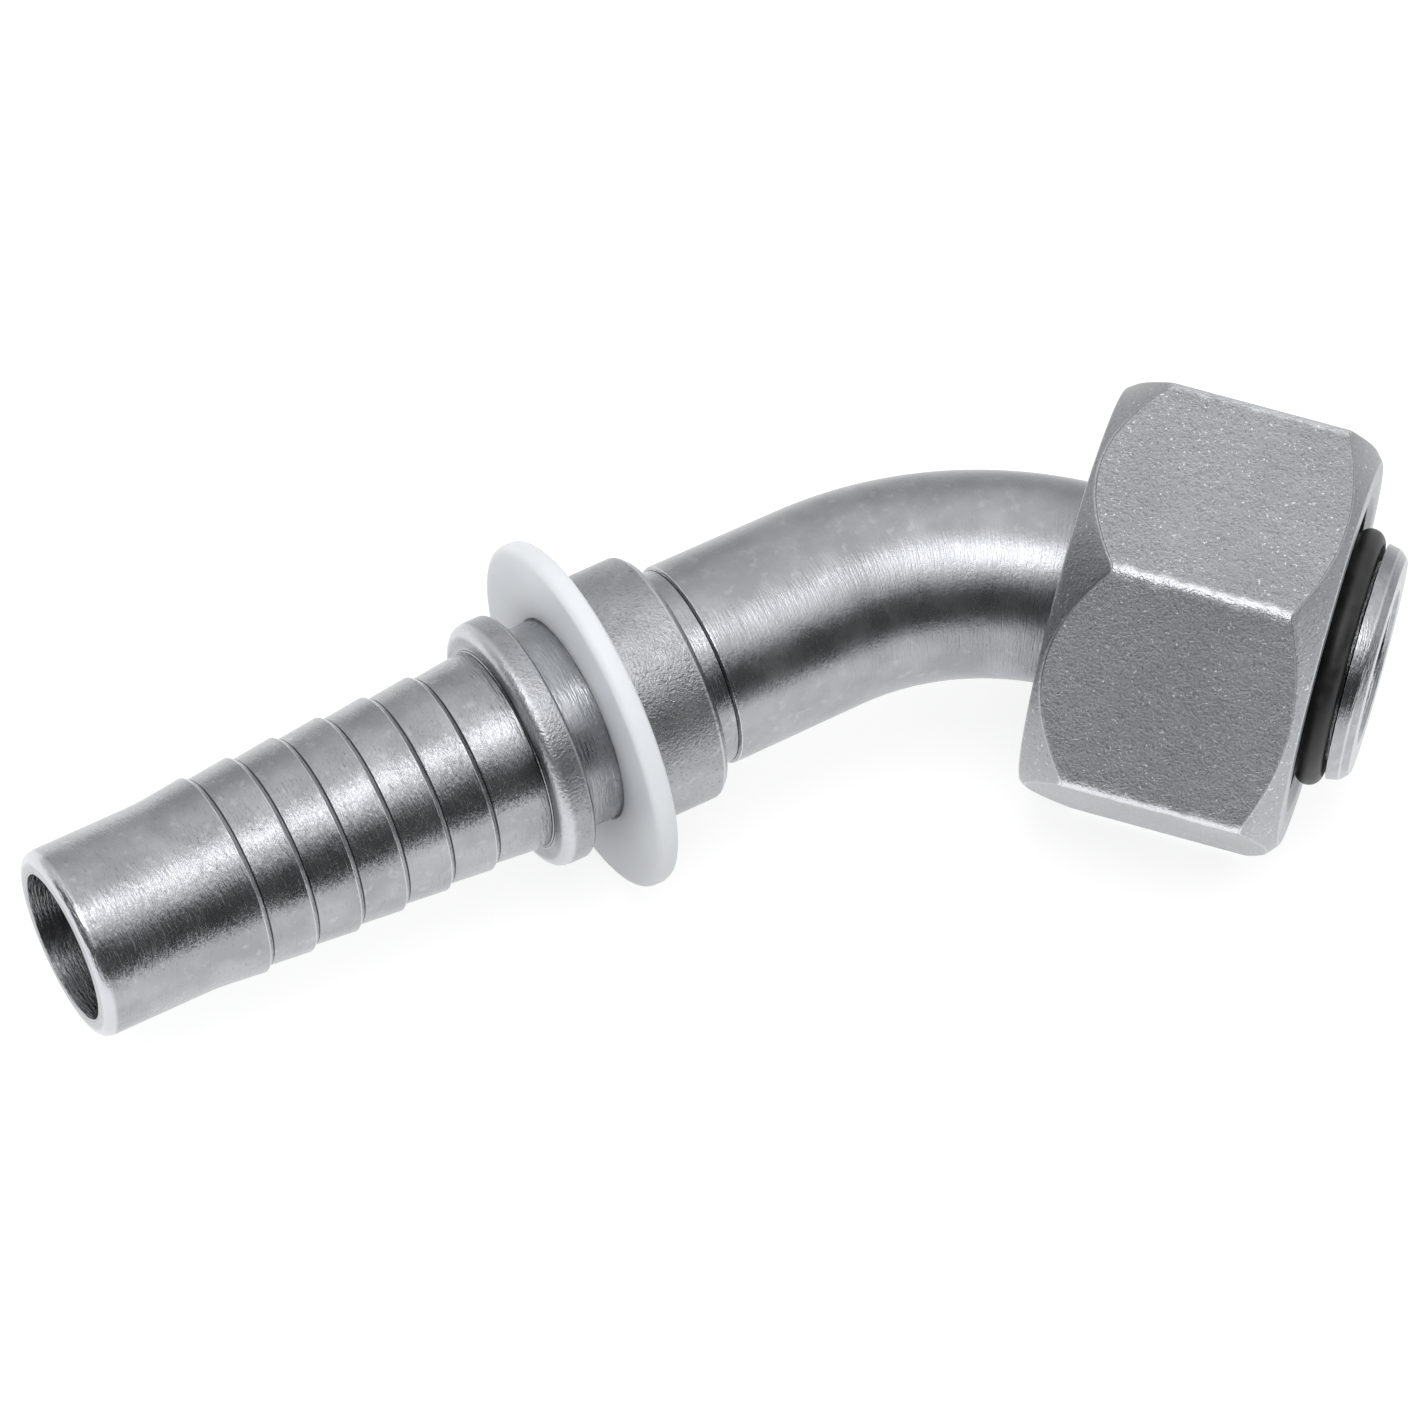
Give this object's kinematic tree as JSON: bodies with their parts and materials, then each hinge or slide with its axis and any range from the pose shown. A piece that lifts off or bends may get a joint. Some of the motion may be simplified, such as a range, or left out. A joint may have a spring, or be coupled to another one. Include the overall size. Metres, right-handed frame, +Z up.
{
  "type": "swept elbow hose fitting",
  "caption": "Swept elbow hydraulic hose fitting with a ribbed hose tail, collars, a sliding plastic stop ring, a loose hexagon union nut and a coned nose with a rubber seal.",
  "frame": {"origin": "centre of the coned nose's face, on the axis of the nut and bore", "axes": "+X out of the coned nose along the nut's axis, +Z up with the nut lying on its lowest flat and the stop ring's rim touching the same plane, the ribbed tail bending away towards -Y"},
  "size_m": [0.0787, 0.0651, 0.027],
  "materials": {
    "plated_stem": "turned, zinc plated",
    "plated_nut": "grainy zinc plating",
    "black_rubber": "soft sheen",
    "white_plastic": "slightly milky"
  },
  "bodies": {
    "stem": {"hose_stem": "plated_stem", "o_ring": "black_rubber"},
    "nut": {"swivel_nut": "plated_nut"},
    "ring": {"stop_ring": "white_plastic"}
  },
  "joints": [
    {"name": "nut_swivel", "type": "hinge", "parent": "stem", "child": "nut", "pos_m": [-0.01185, 0, 0], "axis": [1, 0, 0], "continuous": true},
    {"name": "stop_ring_slide", "type": "slide", "parent": "stem", "child": "ring", "axis": [-0.7071, -0.7048, -0.0572], "range_m": [0, 0.0026]}
  ]
}
